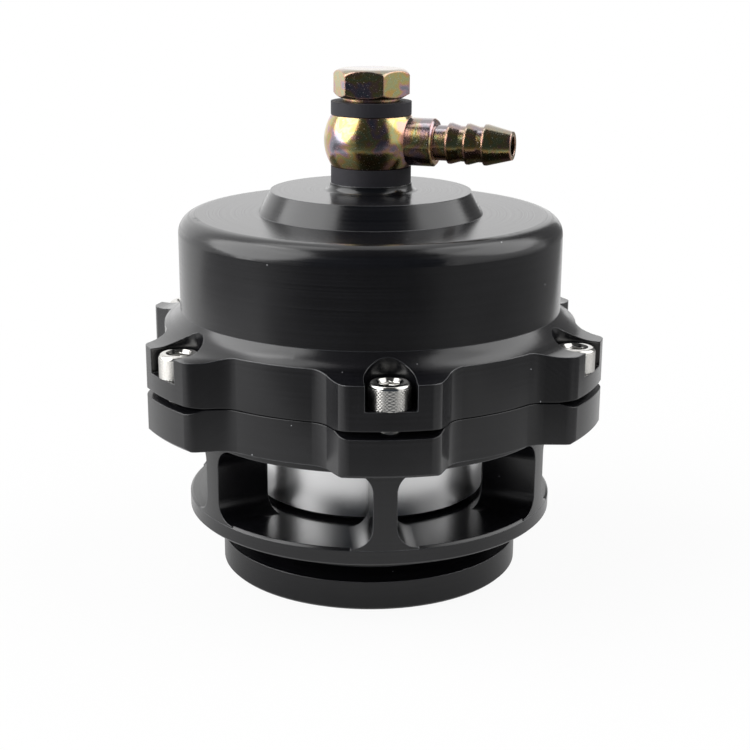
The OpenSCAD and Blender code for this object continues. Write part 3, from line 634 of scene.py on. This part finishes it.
# %% Cards: their places in metres
SHEET_LEFT, SHEET_RIGHT, SHEET_FRONT, SHEET_BACK = -0.285, 0.19, -0.15, 0.13
TABLE, TABLE_FRONT, TABLE_MIDDLE, TABLE_BACK = 0.8, -0.45, -0.24, 0.9
ROOM_LEFT, ROOM_CORNER, ROOM_RIGHT = -1.25, -0.98, 1.3
ROOM_FRONT, ROOM_SIDE, ROOM_BACK = -1.2, -0.8, 0.3
CEILING, LOW = 1.7, 0.5 * MM
DARK_RIGHT, DARK_BACK, DARK_TOP = (0.85, 0.53), (0.375, 0.93), 1


def lying(left, right, front, back, height):
    """The corners of a card that lies flat."""
    return [(left, front, height), (right, front, height), (right, back, height), (left, back, height)]


def standing(one_end, other_end, top):
    """The corners of a card that stands on the sheet."""
    return [(*one_end, 0), (*other_end, 0), (*other_end, top), (*one_end, top)]


cards = {
    "table left": ("#aeaeae", lying(-TABLE, SHEET_LEFT, TABLE_FRONT, SHEET_BACK, LOW)),
    "table right": ("#959595", lying(SHEET_RIGHT, TABLE, TABLE_FRONT, TABLE_BACK, LOW)),
    "table in front": ("#959595", lying(SHEET_LEFT, SHEET_RIGHT, TABLE_MIDDLE, SHEET_FRONT, LOW)),
    "table further out": ("#595959", lying(SHEET_LEFT, SHEET_RIGHT, TABLE_FRONT, TABLE_MIDDLE, LOW)),
    "table end": ("#434950", lying(-TABLE, TABLE, ROOM_FRONT, TABLE_FRONT, LOW)),
    "room in front": ("#3d444c", standing((ROOM_CORNER, ROOM_FRONT), (ROOM_RIGHT, ROOM_FRONT), CEILING)),
    "room at the left": ("#aaaaaa", standing((ROOM_LEFT, ROOM_SIDE), (ROOM_CORNER, ROOM_FRONT), CEILING)),
    "ceiling": ("#464646", lying(ROOM_LEFT, ROOM_RIGHT, ROOM_FRONT, ROOM_BACK, CEILING)),
    "dark corner": ("#818181", standing(DARK_RIGHT, DARK_BACK, DARK_TOP)),
}
print("cards:", list(cards))

# %% Cards: made and hidden from other rays
for name, (colour, corners) in cards.items():
    mesh = bpy.data.meshes.new(name)
    mesh.from_pydata(corners, [], [(0, 1, 2, 3)])
    card = bpy.data.objects.new(name, mesh)
    bpy.context.scene.collection.objects.link(card)
    card.rotation_euler.z = TURN
    paint = bpy.data.materials.new("Card, " + name)
    paint.use_nodes = True
    tree = paint.node_tree
    shade = add(tree, "ShaderNodeEmission", {"Color": linear(colour), "Strength": 1})
    tree.links.new(shade.outputs[0], tree.nodes["Material Output"].inputs["Surface"])
    paint.cycles.emission_sampling = "NONE"
    mesh.materials.append(paint)
    for kind in ("camera", "diffuse", "transmission", "shadow", "volume_scatter"):
        setattr(card, "visible_" + kind, False)
print("cards made:", len(cards))

# %% [markdown]
# ## Camera
#
# The camera could be set by eye, but it was fitted to the circles of the photographed valve,
# because their widths and tilts tell how far away and how high it stood.
# It stands a third of a metre away, a little to the left of the front ear.
# It looks down by about 16 degrees.
# It is placed as if it looked along +Y, then turned about the valve with the lamps and cards.

# %% Camera
SENSOR, LENS = 36, 71.62  # millimetres, as Blender's cameras take them
LOOKS_DOWN, ROLL = math.radians(15.951), math.radians(0.347)
STANDS_AT = Vector((1.151, -324.14, 135.007)) * MM
NEAREST = 10 * MM
camera = bpy.data.objects.new("camera", bpy.data.cameras.new("camera"))
bpy.context.scene.collection.objects.link(camera)
camera.data.sensor_width = SENSOR
camera.data.lens = LENS
camera.data.clip_start = NEAREST
aim = Euler((math.pi / 2 - LOOKS_DOWN, 0, TURN)).to_matrix() @ Matrix.Rotation(ROLL, 3, "Z")
camera.rotation_euler = aim.to_euler()
camera.location = towards_photo @ STANDS_AT
bpy.context.scene.camera = camera
bpy.context.scene.view_settings.view_transform = "Standard"
print("camera at, mm:", [round(v / MM, 1) for v in camera.location])
